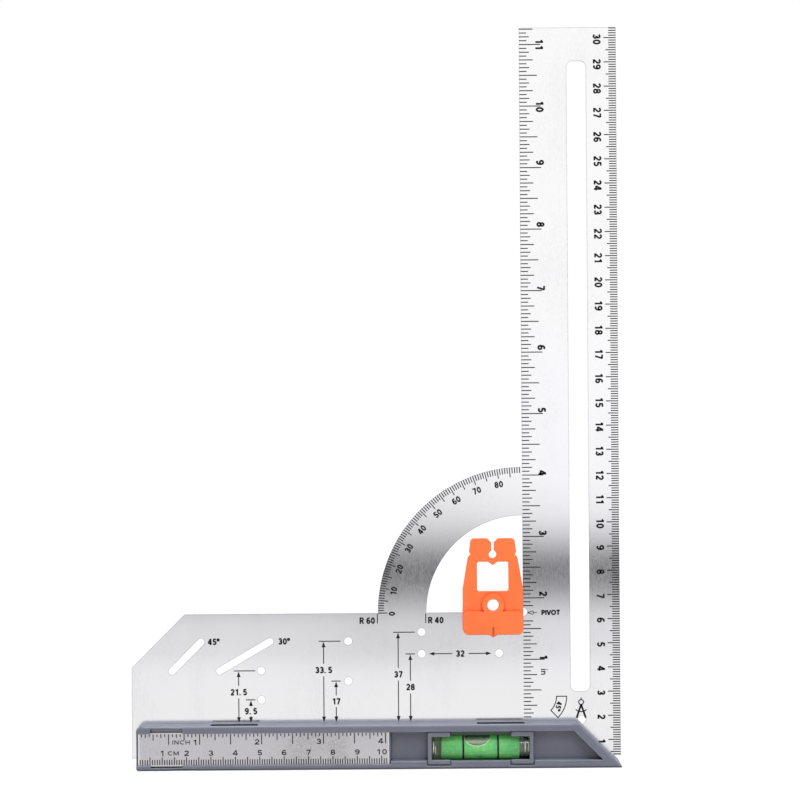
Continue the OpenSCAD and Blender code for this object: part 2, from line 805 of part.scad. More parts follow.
module slider_outline() {
    w = slider_w / 2;
    for (s = [-1, 1]) {
        polygon([
            [0, -jaw_h], [s * (w - pad_r), -jaw_h], [s * w, -jaw_h + pad_r], [s * w, taper_z],
            [s * neck_w, neck_z], [s * (neck_w - nick_in), neck_z + nick_h / 2],
            [s * head_w, neck_z + nick_h], [s * head_top_w, head_z - head_r],
            [s * (head_top_w - head_r), head_z], [0, head_z]]);
        translate([s * (w - pad_r), -jaw_h + pad_r]) circle(pad_r);
        translate([s * (head_top_w - head_r), head_z - head_r]) circle(head_r);
    }
}

// The pointer that stands out of the lower edge
module slider_tip() {
    polygon([[-tip_w / 2, -jaw_h], [0, -jaw_h - tip_h], [tip_w / 2, -jaw_h],
             [0, -jaw_h + over]]);
}

module slider_cuts() {
    // The reading window, with a pointer at its top
    sight_z1 = sight_z0 + sight_h;
    difference() {
        round_rect(-sight_w / 2, sight_z0, sight_w / 2, sight_z1, sight_r);
        polygon([[-sight_tip_w / 2, sight_z1], [0, sight_z1 - sight_tip_h],
                 [sight_tip_w / 2, sight_z1], [0, sight_z1 + over]]);
    }
    translate([0, pencil_z]) circle(pencil_d / 2);
    // The keyhole and the slit that let the head spring
    key_z = sight_z1 + key_gap;
    mouth = slit_w / 2 + slit_cut;
    translate([0, key_z]) circle(key_d / 2);
    rect(-slit_w / 2, key_z, slit_w / 2, head_z + over);
    polygon([[0, head_z - mouth], [mouth + over, head_z + over], [-mouth - over, head_z + over]]);
}

// The wider end of the pencil hole, open through the bridge and the back jaw
module back_cut() {
    r = pencil_d / 2 + back_flare;
    translate([0, pencil_z]) circle(r);
    rect(-r, -run_gap * 2, r, pencil_z);
}

// The raised pad over the foot, and the boss round the pencil hole
module pad_outline() {
    w = slider_w / 2;
    rect(-w + pad_r, -jaw_h, w - pad_r, pad_top);
    rect(-w, -jaw_h + pad_r, w, pad_top - pad_top_r);
    rect(-w + pad_top_r, -jaw_h + pad_r, w - pad_top_r, pad_top);
    for (s = [-1, 1]) {
        translate([s * (w - pad_r), -jaw_h + pad_r]) circle(pad_r);
        translate([s * (w - pad_top_r), pad_top - pad_top_r]) circle(pad_top_r);
    }
    translate([0, pencil_z]) circle(pencil_d / 2 + boss_wall);
    slider_tip();
}

module marking_slider() {
    w = slider_w / 2;
    front = -slider_y - slider_t;
    color(ORANGE) translate([slider_x, 0, foot_z1]) difference() {
        union() {
            slab(front, -slider_y) {
                slider_outline();
                slider_tip();
            }
            slab(front - pad_t, front) pad_outline();
            slab(-slider_y, slider_y) rect(-w, run_gap, w, bridge_h);
            slab(slider_y, slider_y + jaw_t) intersection() {
                slider_outline();
                rect(-w, -jaw_h, w, bridge_h);
            }
        }
        slab(front - pad_t - over, slider_y + jaw_t + over) slider_cuts();
        slab(-slider_y - slider_t / 2, slider_y + jaw_t + over) back_cut();
        // The groove above the pointer
        slab(front - pad_t - over, front - pad_t + mark_t)
            rect(-mark_w / 2, -jaw_h - tip_h - over, mark_w / 2, -jaw_h + mark_len);
    }
}

steel_plate();
handle_front();
handle_back();
handle_screws();
depth_rule();
vial_tube();
vial_plug();
vial_fluid();
vial_bubble();
vial_line_left();
vial_line_right();
marking_slider();
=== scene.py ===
from math import asin, cos, pi, radians, sin, sqrt

import bmesh
import bpy
from mathutils import Matrix, Vector


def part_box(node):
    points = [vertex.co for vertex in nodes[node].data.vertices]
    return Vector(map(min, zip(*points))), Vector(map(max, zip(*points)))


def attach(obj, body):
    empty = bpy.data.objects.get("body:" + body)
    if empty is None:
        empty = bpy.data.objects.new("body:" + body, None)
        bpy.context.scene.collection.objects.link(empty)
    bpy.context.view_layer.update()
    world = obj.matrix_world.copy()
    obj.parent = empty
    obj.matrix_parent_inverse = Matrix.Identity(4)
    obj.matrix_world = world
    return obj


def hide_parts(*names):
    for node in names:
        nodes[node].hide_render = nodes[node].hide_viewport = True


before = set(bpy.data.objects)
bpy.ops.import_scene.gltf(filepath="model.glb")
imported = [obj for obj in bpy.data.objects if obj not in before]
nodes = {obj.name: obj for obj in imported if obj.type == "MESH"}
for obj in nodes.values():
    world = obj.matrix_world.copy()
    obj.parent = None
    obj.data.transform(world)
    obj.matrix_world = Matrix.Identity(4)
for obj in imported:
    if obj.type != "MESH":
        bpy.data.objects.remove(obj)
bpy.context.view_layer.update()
scene = bpy.context.scene
MM = 0.001

# Places on the tool in millimetres, in the frame's own axes: X along the handle, Y from the
# front to the back, Z up the blade.
BLADE_X0 = 61.0
BLADE_X1 = 101.0
# The handle's stop face, the foot plate's top edge and the sheet's front
STOP_Z = 18.3
FOOT_TOP = 63.3
SHEET_FRONT = -0.5
# X and Z of a point on the handle's slanted end have this sum
MITRE_SUM = 101.6
# The depth rule's face, its middle line, half its printed width and the zero of its scales
RULE_FRONT = -8.85
RULE_MIDDLE = 8.75
RULE_HALF = 6.5
RULE_ZERO = -97.8
# The ink stands a little proud and reaches back into the metal
INK_LIFT = 0.02
INK_DEPTH = 0.03
INCH = 25.4
# Widths of the sheet's tick marks and of its other lines, and the height of its figures
TICK = 0.43
LINE = 0.41
FIGURE = 2.6
# Refraction of clear plastic
GLASS = 1.49


# Meshes

def finish_mesh(bm, name, body, material, smooth=False):
    """Turns a mesh that is drawn in millimetres into a piece in metres."""
    mesh = bpy.data.meshes.new(name)
    bm.transform(Matrix.Scale(MM, 4))
    bm.to_mesh(mesh)
    bm.free()
    obj = bpy.data.objects.new(name, mesh)
    scene.collection.objects.link(obj)
    mesh.materials.append(material)
    for face in mesh.polygons:
        face.use_smooth = smooth
    if body:
        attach(obj, body)
    return obj


def flat_face(bm, points, front):
    """A flat patch of ink, its corners as (x, z) anticlockwise seen from the front."""
    verts = [bm.verts.new((x, front - INK_LIFT, z)) for x, z in points]
    return bm.faces.new(verts)


def ribbon(bm, points, width, front, closed=False):
    """A printed line of even width through several points (x, z), its bends mitred."""
    spots = [Vector(p) for p in points]
    count = len(spots)
    sides = []
    for i, spot in enumerate(spots):
        before = spots[i - 1] if closed or i > 0 else spot * 2 - spots[1]
        after = spots[(i + 1) % count] if closed or i < count - 1 else spot * 2 - spots[i - 1]
        into = (spot - before).normalized()
        out = (after - spot).normalized()
        across = Vector((-into.y - out.y, into.x + out.x)).normalized()
        reach = width / 2 / max(0.6, across.dot(Vector((-into.y, into.x))))
        left = spot + across * reach
        right = spot - across * reach
        sides.append([bm.verts.new((p.x, front - INK_LIFT, p.y)) for p in (left, right)])
    for i in range(count if closed else count - 1):
        left, right = sides[i]
        next_left, next_right = sides[(i + 1) % count]
        bm.faces.new([right, next_right, next_left, left])


def ring_points(centre, radius, steps=20):
    """Points round a circle."""
    turns = [2 * pi * i / steps for i in range(steps)]
    return [(centre[0] + radius * cos(t), centre[1] + radius * sin(t)) for t in turns]


def arc_points(centre, radius, start, end, steps=10):
    """Points along an arc, its angles in degrees."""
    turns = [radians(start + (end - start) * i / steps) for i in range(steps + 1)]
    return [(centre[0] + radius * cos(t), centre[1] + radius * sin(t)) for t in turns]


def arrow_head(bm, tip, direction, length, width, front):
    """A filled arrow head. direction is +1 for one that points up, -1 down."""
    back = tip[1] - direction * length
    half = width / 2
    if direction > 0:
        corners = [tip, (tip[0] - half, back), (tip[0] + half, back)]
    else:
        corners = [tip, (tip[0] + half, back), (tip[0] - half, back)]
    flat_face(bm, corners, front)


# Letters of even strokes, one unit high. Each has its width and its strokes, and a closed
# stroke ends where it starts.

def bend(x, y, across, up, start, end):
    """Points along an oval arc of a letter, its angles in degrees."""
    steps = max(2, round(abs(end - start) / 30))
    turns = [radians(start + (end - start) * i / steps) for i in range(steps + 1)]
    return [(x + across * cos(t), y + up * sin(t)) for t in turns]


def oval(x, y, across, up):
    """A closed oval of a letter."""
    return bend(x, y, across, up, 90, 450)


def stem(x, low=0.0, high=1.0):
    """An upright stroke of a letter."""
    return [(x, low), (x, high)]


LETTERS = {
    "0": (0.72, [oval(0.36, 0.5, 0.215, 0.405)]),
    "1": (0.66, [stem(0.42), [(0.42, 0.93), (0.17, 0.72)]]),
    "2": (0.72, [
        bend(0.36, 0.68, 0.21, 0.225, 170, -40) + [(0.16, 0.13)],
        [(0.09, 0.095), (0.63, 0.095)],
    ]),
    "3": (0.72, [
        bend(0.35, 0.69, 0.19, 0.215, 165, -80) + bend(0.35, 0.30, 0.22, 0.205, 80, -160),
    ]),
    "4": (0.72, [stem(0.47), [(0.44, 0.95), (0.10, 0.30)], [(0.05, 0.285), (0.66, 0.285)]]),
    "5": (0.72, [
        [(0.61, 0.905), (0.19, 0.905)],
        [(0.24, 0.95), (0.18, 0.46)],
        bend(0.36, 0.33, 0.215, 0.235, 135, -155),
    ]),
    "6": (0.72, [
        oval(0.365, 0.31, 0.215, 0.215),
        bend(0.40, 0.50, 0.25, 0.405, 50, 180) + [(0.15, 0.33)],
    ]),
    "7": (0.70, [[(0.09, 0.905), (0.62, 0.905)], [(0.57, 0.9), (0.28, 0.0)]]),
    "8": (0.72, [oval(0.36, 0.70, 0.18, 0.205), oval(0.36, 0.30, 0.215, 0.205)]),
    "9": (0.72, [
        oval(0.355, 0.69, 0.215, 0.215),
        bend(0.32, 0.50, 0.25, 0.405, -130, 0) + [(0.57, 0.67)],
    ]),
    "R": (0.80, [
        stem(0.15),
        [(0.15, 0.905)] + bend(0.42, 0.70, 0.18, 0.205, 90, -90) + [(0.15, 0.495)],
        [(0.40, 0.48), (0.64, 0.0)],
    ]),
    "P": (0.72, [
        stem(0.15), [(0.15, 0.905)] + bend(0.38, 0.67, 0.20, 0.235, 90, -90) + [(0.15, 0.435)],
    ]),
    "I": (0.32, [stem(0.16)]),
    "V": (0.80, [[(0.08, 1.0), (0.40, 0.0)], [(0.72, 1.0), (0.40, 0.0)]]),
    "O": (0.98, [oval(0.49, 0.5, 0.36, 0.405)]),
    "T": (0.76, [[(0.05, 0.905), (0.71, 0.905)], stem(0.38)]),
    "N": (0.82, [stem(0.14), stem(0.66), [(0.14, 0.95), (0.66, 0.05)]]),
    "C": (0.86, [bend(0.47, 0.5, 0.34, 0.405, 50, 310)]),
    "H": (0.82, [stem(0.14), stem(0.66), [(0.14, 0.5), (0.66, 0.5)]]),
    "M": (0.98, [stem(0.14), stem(0.82), [(0.14, 0.95), (0.48, 0.1)], [(0.82, 0.95), (0.48, 0.1)]]),
    "i": (0.32, [stem(0.16, 0.0, 0.7), stem(0.16, 0.84, 1.0)]),
    "n": (0.68, [stem(0.15, 0.0, 0.7), bend(0.35, 0.41, 0.20, 0.2, 150, 0) + [(0.55, 0.0)]]),
    "°": (0.46, [oval(0.22, 0.80, 0.14, 0.14)]),
    ".": (0.32, [stem(0.16, 0.0, 0.19)]),
    " ": (0.28, []),
}


def word(bm, text, centre, height, front, turn=0.0, narrow=1.0, weight=0.25, anchor=0.5, gap=0.0):
    """A printed word with figures of this height, turned anticlockwise by turn degrees.
    centre is its place (x, z), and anchor the share of its length that lies left of it.
    weight, the strokes' width, and gap, the space between letters, are shares of the height."""
    spin = radians(turn)
    pen = -anchor * (sum(LETTERS[letter][0] + gap for letter in text) - gap)
    for letter in text:
        advance, strokes = LETTERS[letter]
        for points in strokes:
            closed = len(points) > 2 and (Vector(points[0]) - Vector(points[-1])).length < 0.001
            placed = []
            for px, py in points[:-1] if closed else points:
                x = (px + pen) * height * narrow
                z = (py - 0.5) * height
                placed.append((
                    centre[0] + x * cos(spin) - z * sin(spin),
                    centre[1] + x * sin(spin) + z * cos(spin),
                ))
            ribbon(bm, placed, weight * height, front, closed)
        pen += advance + gap


def printed(bm, name, body, material):
    """Gives the flat ink its thickness, which reaches back into the metal."""
    obj = finish_mesh(bm, name, body, material)
    thick = obj.modifiers.new("ink", "SOLIDIFY")
    thick.thickness = INK_DEPTH * MM
    thick.offset = -1
    return obj


# Materials

def new_material(name):
    """A node material, with its shader, its node tree and the object's own coordinates."""
    material = bpy.data.materials.new(name)
    material.use_nodes = True
    tree = material.node_tree
    shader = tree.nodes["Principled BSDF"]
    where = tree.nodes.new("ShaderNodeTexCoord")
    return material, tree, shader, where


def noise(tree, where, scale, stretch=(1, 1, 1), detail=3.0, rough=0.5):
    """Noise in metres: scale is waves per metre, stretch shortens it along each axis."""
    mapping = tree.nodes.new("ShaderNodeMapping")
    mapping.inputs["Scale"].default_value = stretch
    tree.links.new(where.outputs["Object"], mapping.inputs["Vector"])
    node = tree.nodes.new("ShaderNodeTexNoise")
    node.inputs["Scale"].default_value = scale
    node.inputs["Detail"].default_value = detail
    node.inputs["Roughness"].default_value = rough
    tree.links.new(mapping.outputs["Vector"], node.inputs["Vector"])
    return node.outputs["Fac"]


def spread_to(tree, value, low, high, dark=0.3, light=0.7):
    """Maps a value between dark and light to the range from low to high."""
    node = tree.nodes.new("ShaderNodeMapRange")
    node.inputs["From Min"].default_value = dark
    node.inputs["From Max"].default_value = light
    node.inputs["To Min"].default_value = low
    node.inputs["To Max"].default_value = high
    tree.links.new(value, node.inputs["Value"])
    return node.outputs["Result"]


def two_tone(tree, value, dark, light, low=0.3, high=0.7):
    """A colour between dark and light by a noise value."""
    node = tree.nodes.new("ShaderNodeValToRGB")
    ramp = node.color_ramp.elements
    ramp[0].position = low
    ramp[0].color = (*dark, 1)
    ramp[1].position = high
    ramp[1].color = (*light, 1)
    tree.links.new(value, node.inputs["Fac"])
    return node.outputs["Color"]


def mixed(tree, value, first, second):
    """A colour between two others by a value from 0 to 1; each is a socket or a plain colour."""
    node = tree.nodes.new("ShaderNodeMix")
    node.data_type = "RGBA"
    tree.links.new(value, node.inputs["Factor"])
    # Of the node's sockets, inputs 6 and 7 and output 2 are the ones for colours
    for socket, colour in ((node.inputs[6], first), (node.inputs[7], second)):
        if isinstance(colour, tuple):
            socket.default_value = (*colour, 1)
        else:
            tree.links.new(colour, socket)
    return node.outputs[2]


def product(tree, first, second, operation="MULTIPLY"):
    """Two values multiplied, or joined by another operation. The second may be a number."""
    node = tree.nodes.new("ShaderNodeMath")
    node.operation = operation
    tree.links.new(first, node.inputs[0])
    if isinstance(second, float):
        node.inputs[1].default_value = second
    else:
        tree.links.new(second, node.inputs[1])
    return node.outputs[0]


def along_edges(tree, radius, least=0.85):
    """1 along the edges, 0 on flat faces: there the softened normal leaves the true one."""
    bevel = tree.nodes.new("ShaderNodeBevel")
    bevel.samples = 8
    bevel.inputs["Radius"].default_value = radius
    geometry = tree.nodes.new("ShaderNodeNewGeometry")
    both = tree.nodes.new("ShaderNodeVectorMath")
    both.operation = "DOT_PRODUCT"
    tree.links.new(bevel.outputs["Normal"], both.inputs[0])
    tree.links.new(geometry.outputs["Normal"], both.inputs[1])
    return spread_to(tree, both.outputs["Value"], 1.0, 0.0, least, 0.995)


def in_nooks(tree, distance, open_from=0.88, closed_at=0.25):
    """1 in nooks and narrow gaps, 0 on open faces: the mask for painted shade."""
    node = tree.nodes.new("ShaderNodeAmbientOcclusion")
    node.samples = 8
    node.inputs["Distance"].default_value = distance
    return spread_to(tree, node.outputs["AO"], 1.0, 0.0, closed_at, open_from)


def inside(tree, where, low, high):
    """1 inside a box of the object's own coordinates in millimetres, 0 outside it."""
    centre = [(a + b) / 2 * MM for a, b in zip(low, high)]
    half = [(b - a) / 2 * MM for a, b in zip(low, high)]
    place = where.outputs["Object"]
    for operation, values in (("SUBTRACT", centre), ("ABSOLUTE", None), ("DIVIDE", half)):
        node = tree.nodes.new("ShaderNodeVectorMath")
        node.operation = operation
        tree.links.new(place, node.inputs[0])
        if values:
            node.inputs[1].default_value = values
        place = node.outputs["Vector"]
    split = tree.nodes.new("ShaderNodeSeparateXYZ")
    tree.links.new(place, split.inputs["Vector"])
    widest = product(tree, split.outputs["X"], split.outputs["Y"], "MAXIMUM")
    widest = product(tree, widest, split.outputs["Z"], "MAXIMUM")
    return product(tree, widest, 1.0, "LESS_THAN")


def patched(tree, where, colour, patches):
    """The colour with patches over it: boxes in millimetres, each with a tone and its share."""
    for low, high, tone, share in patches:
        colour = mixed(tree, product(tree, inside(tree, where, low, high), share), colour, tone)
    return colour


def bump(tree, shader, value, depth, soften=0.0):
    """Bumps of a depth in metres, over edges that are softened by a radius in metres."""
    node = tree.nodes.new("ShaderNodeBump")
    node.inputs["Distance"].default_value = depth
    node.inputs["Strength"].default_value = 1.0
    tree.links.new(value, node.inputs["Height"])
    if soften:
        bevel = tree.nodes.new("ShaderNodeBevel")
        bevel.samples = 8
        bevel.inputs["Radius"].default_value = soften
        tree.links.new(bevel.outputs["Normal"], node.inputs["Normal"])
    tree.links.new(node.outputs["Normal"], shader.inputs["Normal"])


def brushed_metal(
    name, dark, light, painted_edge, painted_rim_r, rough, grain, length, anisotropy, grain_depth, patches=()
):
    """Steel with a short fine grain that runs up the blade, faint clouds, and edges painted another
    tone: painted shade where that tone is darker, a painted highlight where it is lighter.
    """
    material, tree, shader, where = new_material(name)
    fine = noise(tree, where, grain, (1, 1, length), 3.0, 0.6)
    edge_breakup = noise(tree, where, 700, (1, 1, 1), 2.0)
    # The edges' painted tone, broken up by noise: painted shade on the steel, a painted highlight on
    # the rule and the screws.
    painted_rim = product(tree, along_edges(tree, painted_rim_r), spread_to(tree, edge_breakup, 0.65, 1.0))
    clouds = noise(tree, where, 45, (1, 1, 0.5), 3.0)
    grained = two_tone(tree, product(tree, fine, clouds, "ADD"), dark, light, 0.7, 1.25)
    colour = mixed(tree, painted_rim, grained, painted_edge)
    tree.links.new(patched(tree, where, colour, patches), shader.inputs["Base Color"])
    tree.links.new(spread_to(tree, fine, rough - 0.04, rough + 0.04), shader.inputs["Roughness"])
    shader.inputs["Metallic"].default_value = 1.0
    shader.inputs["Anisotropic"].default_value = anisotropy
    across = tree.nodes.new("ShaderNodeCombineXYZ")
    across.inputs["X"].default_value = 1.0
    tree.links.new(across.outputs["Vector"], shader.inputs["Tangent"])
    bump(tree, shader, fine, grain_depth)
    return material


def moulded_plastic(
    name, dark, light, nook_shade, nook_shade_r, painted_edge, painted_edge_r, rough, pit_depth, soften, patches=()
):
    """Satin plastic: a faint mottle in the colour, fine grain, painted shade in the nooks and edges
    painted another tone.
    patches are boxes in millimetres of painted light and shade, each with a tone and its share."""
    material, tree, shader, where = new_material(name)
    mottle = noise(tree, where, 90, (1, 1, 1), 3.0)
    pits = noise(tree, where, 2600, (1, 1, 1), 2.0)
    base = mixed(tree, spread_to(tree, pits, 0.0, 0.5), two_tone(tree, mottle, dark, light), light)
    # Edges painted another tone: a painted highlight on the handle, painted shade on the slider.
    painted_edge_mask = product(tree, along_edges(tree, painted_edge_r), spread_to(tree, mottle, 0.4, 0.8))
    # Painted shade in the nooks.
    painted_shading = mixed(tree, in_nooks(tree, nook_shade_r), mixed(tree, painted_edge_mask, base, painted_edge), nook_shade)
    tree.links.new(patched(tree, where, painted_shading, patches), shader.inputs["Base Color"])
    tree.links.new(spread_to(tree, pits, rough - 0.06, rough + 0.06), shader.inputs["Roughness"])
    bump(tree, shader, pits, pit_depth, soften)
    return material


def clear_material(name, colour, rough, refraction, transmission):
    """Clear plastic, with a trace of haze."""
    material, tree, shader, where = new_material(name)
    haze = noise(tree, where, 900, (1, 1, 1), 2.0)
    dark = tuple(c * 0.93 for c in colour)
    tree.links.new(two_tone(tree, haze, dark, colour), shader.inputs["Base Color"])
    tree.links.new(spread_to(tree, haze, rough, rough + 0.04), shader.inputs["Roughness"])
    shader.inputs["IOR"].default_value = refraction
    shader.inputs["Transmission Weight"].default_value = transmission
    return material


def printed_ink(name):
    """Black marking ink, a little worn."""
    material, tree, shader, where = new_material(name)
    wear = noise(tree, where, 1500, (1, 1, 1), 3.0)
    tree.links.new(
        two_tone(tree, wear, (0.006, 0.006, 0.007), (0.024, 0.023, 0.025)),
        shader.inputs["Base Color"],
    )
    tree.links.new(spread_to(tree, wear, 0.5, 0.75), shader.inputs["Roughness"])
    shader.inputs["Specular IOR Level"].default_value = 0.2
    return material


def green_fluid(name):
    """Bright green fluid with yellowish clouds and pale specks, which glows a little as painted light.
    """
    material, tree, shader, where = new_material(name)
    clouds = noise(tree, where, 260, (1, 1, 1.6), 3.0)
    specks = noise(tree, where, 1800, (1, 1, 1), 1.0)
    body = two_tone(tree, clouds, (0.140, 0.66, 0.205), (0.26, 0.73, 0.18), 0.4, 0.75)
    speckled = mixed(tree, spread_to(tree, specks, 0.0, 0.7, 0.62, 0.75), body, (0.55, 0.95, 0.52))
    tree.links.new(speckled, shader.inputs["Base Color"])
    # Painted light: the fluid glows a little, though it is no lamp.
    tree.links.new(speckled, shader.inputs["Emission Color"])
    shader.inputs["Emission Strength"].default_value = 0.12
    tree.links.new(spread_to(tree, clouds, 0.3, 0.45), shader.inputs["Roughness"])
    return material


def bubble_skin(name, tones, low, high):
    """Painted light and shade in bands from a low height up to a high one, heights in millimetres: the
    bubble's dark inside, its bright edge, and glints and shade in the tube's ends.
    """
    material, tree, shader, where = new_material(name)
    ripple = noise(tree, where, 900, (1, 1, 1), 2.0)
    split = tree.nodes.new("ShaderNodeSeparateXYZ")
    tree.links.new(where.outputs["Object"], split.inputs["Vector"])
    height = spread_to(tree, split.outputs["Z"], 0.0, 0.85, low * MM, high * MM)
    ramp = tree.nodes.new("ShaderNodeValToRGB")
    stops = ramp.color_ramp.elements
    while len(stops) < len(tones):
        stops.new(0.5)
    for i, (stop, tone) in enumerate(zip(stops, tones)):
        stop.position = i / (len(tones) - 1)
        stop.color = (*tone, 1)
    wavy = product(tree, height, spread_to(tree, ripple, 0.0, 0.15), "ADD")
    tree.links.new(wavy, ramp.inputs["Fac"])
    tree.links.new(ramp.outputs["Color"], shader.inputs["Base Color"])
    tree.links.new(spread_to(tree, ripple, 0.25, 0.4), shader.inputs["Roughness"])
    return material


# Patches of painted light and shade: a painted highlight on the rule's end, painted shade in the
# sockets, painted shade tinted green round the vial, painted light on the notch's floor and a painted
# highlight on the rounding of the handle's top edge.
RULE_END_HIGHLIGHT = ((-99, -20, 0), (-97.15, 20, 30), (1.0, 1.0, 1.0), 0.9)
SOCKET_SHADE = (0.004, 0.004, 0.006)
LEFT_SOCKET_SHADE = ((-68.0, -7.9, 16.4), (-48.0, -3.6, 18.29), SOCKET_SHADE, 0.97)
RIGHT_SOCKET_SHADE = ((41.4, -7.9, 16.4), (61.6, -3.6, 18.29), SOCKET_SHADE, 0.97)
VIAL_GREEN_SHADE = ((30.5, -8.4, 2.0), (55.3, 0, 15.0), (0.045, 0.12, 0.045), 0.75)
NOTCH_LIGHT = ((-92.3, -8.9, 15.0), (-78.7, -6.5, 17.6), (0.36, 0.37, 0.43), 0.8)
TOP_EDGE_HIGHLIGHT = ((-95.0, -9.3, 17.1), (80.0, -7.7, 18.2), (0.30, 0.31, 0.37), 0.4)

# The steel's edges get painted shade, and the rule's and the screws' edges a painted highlight. The
# rule's end gets a painted highlight too.
steel = brushed_metal(
    "brushed_steel", (0.89, 0.885, 0.90), (0.965, 0.96, 0.97), (0.30, 0.30, 0.31), 0.00055,
    0.17, 2600, 0.22, 0.6, 0.0000012
)
rule_metal = brushed_metal(
    "rule_steel", (0.49, 0.47, 0.49), (0.67, 0.65, 0.68), (0.97, 0.96, 0.98), 0.001,
    0.42, 2000, 0.7, 0.2, 0.000004, [RULE_END_HIGHLIGHT]
)
screw_metal = brushed_metal(
    "screw_steel", (0.45, 0.45, 0.46), (0.62, 0.62, 0.63), (0.72, 0.72, 0.73), 0.0002,
    0.32, 3000, 0.5, 0.0, 0.000002
)
# The handle: painted shade in its nooks, a painted highlight along its edges, and patches of painted
# light and shade.
handle_plastic = moulded_plastic(
    "handle_plastic", (0.135, 0.142, 0.186), (0.160, 0.167, 0.216), (0.034, 0.038, 0.058), 0.0015,
    (0.28, 0.29, 0.35), 0.0011, 0.42, 0.00001, 0.0007,
    (TOP_EDGE_HIGHLIGHT, LEFT_SOCKET_SHADE, RIGHT_SOCKET_SHADE, VIAL_GREEN_SHADE, NOTCH_LIGHT)
)
# The slider: painted shade in its nooks and along its edges.
slider_plastic = moulded_plastic(
    "slider_plastic", (0.93, 0.166, 0.031), (1.0, 0.194, 0.044), (0.66, 0.070, 0.014), 0.0018,
    (0.84, 0.110, 0.025), 0.0004, 0.38, 0.000008, 0.0003
)
acrylic = clear_material("clear_acrylic", (0.90, 0.95, 0.92), 0.02, GLASS, 1.0)
fluid = green_fluid("green_fluid")
# Painted light and shade of the vial: the bubble's dark inside, a painted highlight on its edge,
# painted glints in the tube's ends and painted shade behind them.
bubble_shade_paint = bubble_skin(
    "bubble_painted_shade", [(0.46, 0.41, 0.18), (0.24, 0.29, 0.15), (0.43, 0.58, 0.39), (0.07, 0.12, 0.07)],
    8.5, 12.2
)
bubble_highlight = bubble_skin(
    "bubble_highlight", [(0.95, 1.0, 0.75), (0.80, 0.95, 0.65), (0.90, 1.0, 0.70)], 8.5, 12.2
)
glint_paint = bubble_skin(
    "vial_painted_glints", [(0.70, 0.84, 0.42), (1.0, 1.0, 0.92), (0.80, 0.88, 0.66)], 5.5, 11.5
)
end_shade = bubble_skin(
    "vial_end_shade", [(0.16, 0.22, 0.11), (0.32, 0.40, 0.24), (0.20, 0.25, 0.15)], 4.0, 13.0
)
ink = printed_ink("black_ink")

finishes = {
    "steel_plate": steel,
    "handle_front": handle_plastic,
    "handle_back": handle_plastic,
    "handle_screws": screw_metal,
    "depth_rule": rule_metal,
    "vial_tube": acrylic,
    "vial_plug": acrylic,
    "vial_fluid": fluid,
    "vial_bubble": bubble_shade_paint,
    "vial_line_left": ink,
    "vial_line_right": ink,
    "marking_slider": slider_plastic,
}
for name, material in finishes.items():
    mesh = nodes[name].data
    mesh.materials.clear()
    mesh.materials.append(material)


# Scales of the sheet

def notch_edge(z):
    """Where the blade's left edge lies at height z: it steps in at the pivot notch."""
    off = z - FOOT_TOP
    notch = 1.7
    if abs(off) >= notch:
        return BLADE_X0
    return BLADE_X0 + sqrt(notch * notch - off * off)


def inch_scale():
    """Sixteenths of an inch up the blade's left edge, from the stop face."""
    lengths = {1: 3.1, 2: 4.15, 4: 5.65, 8: 7.4, 16: 8.8}
    bm = bmesh.new()
    for i in range(1, 181):
        z = STOP_Z + i * INCH / 16
        step = max(s for s in lengths if i % s == 0)
        ends = [(notch_edge(z) + 0.05, z), (BLADE_X0 + lengths[step], z)]
        # No tick stands beside the pivot notch
        if abs(z - FOOT_TOP) > 2.3:
            ribbon(bm, ends, TICK, SHEET_FRONT)
    # How far each inch's figure stands above its tick
    lifts = (0.9, 1.7, 1.5, 0.9, 1.5, 1.9, 1.1, 1.9, 2.1, -0.2, 0.0)
    for inch, lift in enumerate(lifts, 1):
        z = STOP_Z + inch * INCH
        word(bm, str(inch), (BLADE_X0 + 8.4, z + lift), 3.2, SHEET_FRONT, -90, gap=0.14)
    word(bm, "in", (BLADE_X0 + 8.6, STOP_Z + 20.2), 2.7, SHEET_FRONT, -90, weight=0.18)
    return printed(bm, "blade_inch_scale", "square", ink)


def centimetre_scale():
    """Millimetres up the blade's right edge, from just above the underside."""
    zero = 0.3
    bm = bmesh.new()
    # The first few ticks lie wholly behind the slanted end
    for i in range(4, 305):
        z = zero + i
        length = 5.1 if i % 10 == 0 else 4.2 if i % 5 == 0 else 3.1
        start = max(BLADE_X1 - length, MITRE_SUM - z)
        ribbon(bm, [(start, z), (BLADE_X1 - 0.05, z)], TICK, SHEET_FRONT)
    for centimetre in range(1, 31):
        drop = 0.9 if 20 <= centimetre < 30 else 0.6
        place = (BLADE_X1 - 7.85, zero + centimetre * 10 - drop)
        word(bm, str(centimetre), place, 3.2, SHEET_FRONT, -90, weight=0.235)
    return printed(bm, "blade_centimetre_scale", "square", ink)


def protractor_scale():
    """Degrees round the ring, from its left end."""
    bm = bmesh.new()
    ring = 60.0

    def at(radius, degrees, drop=0.0):
        turn = radians(degrees)
        return (BLADE_X0 - radius * cos(turn) - drop, FOOT_TOP - drop + radius * sin(turn))

    for i in range(0, 90):
        length = 4.0 if i % 5 == 0 else 2.5
        ribbon(bm, [at(ring - 0.05, i), at(ring - length, i)], LINE, SHEET_FRONT)
    for i in range(0, 90, 10):
        word(bm, str(i), at(53.9, i, 0.3), FIGURE, SHEET_FRONT, 90 - i, weight=0.235)
    return printed(bm, "protractor_scale", "square", ink)


# Figures and signs of the sheet

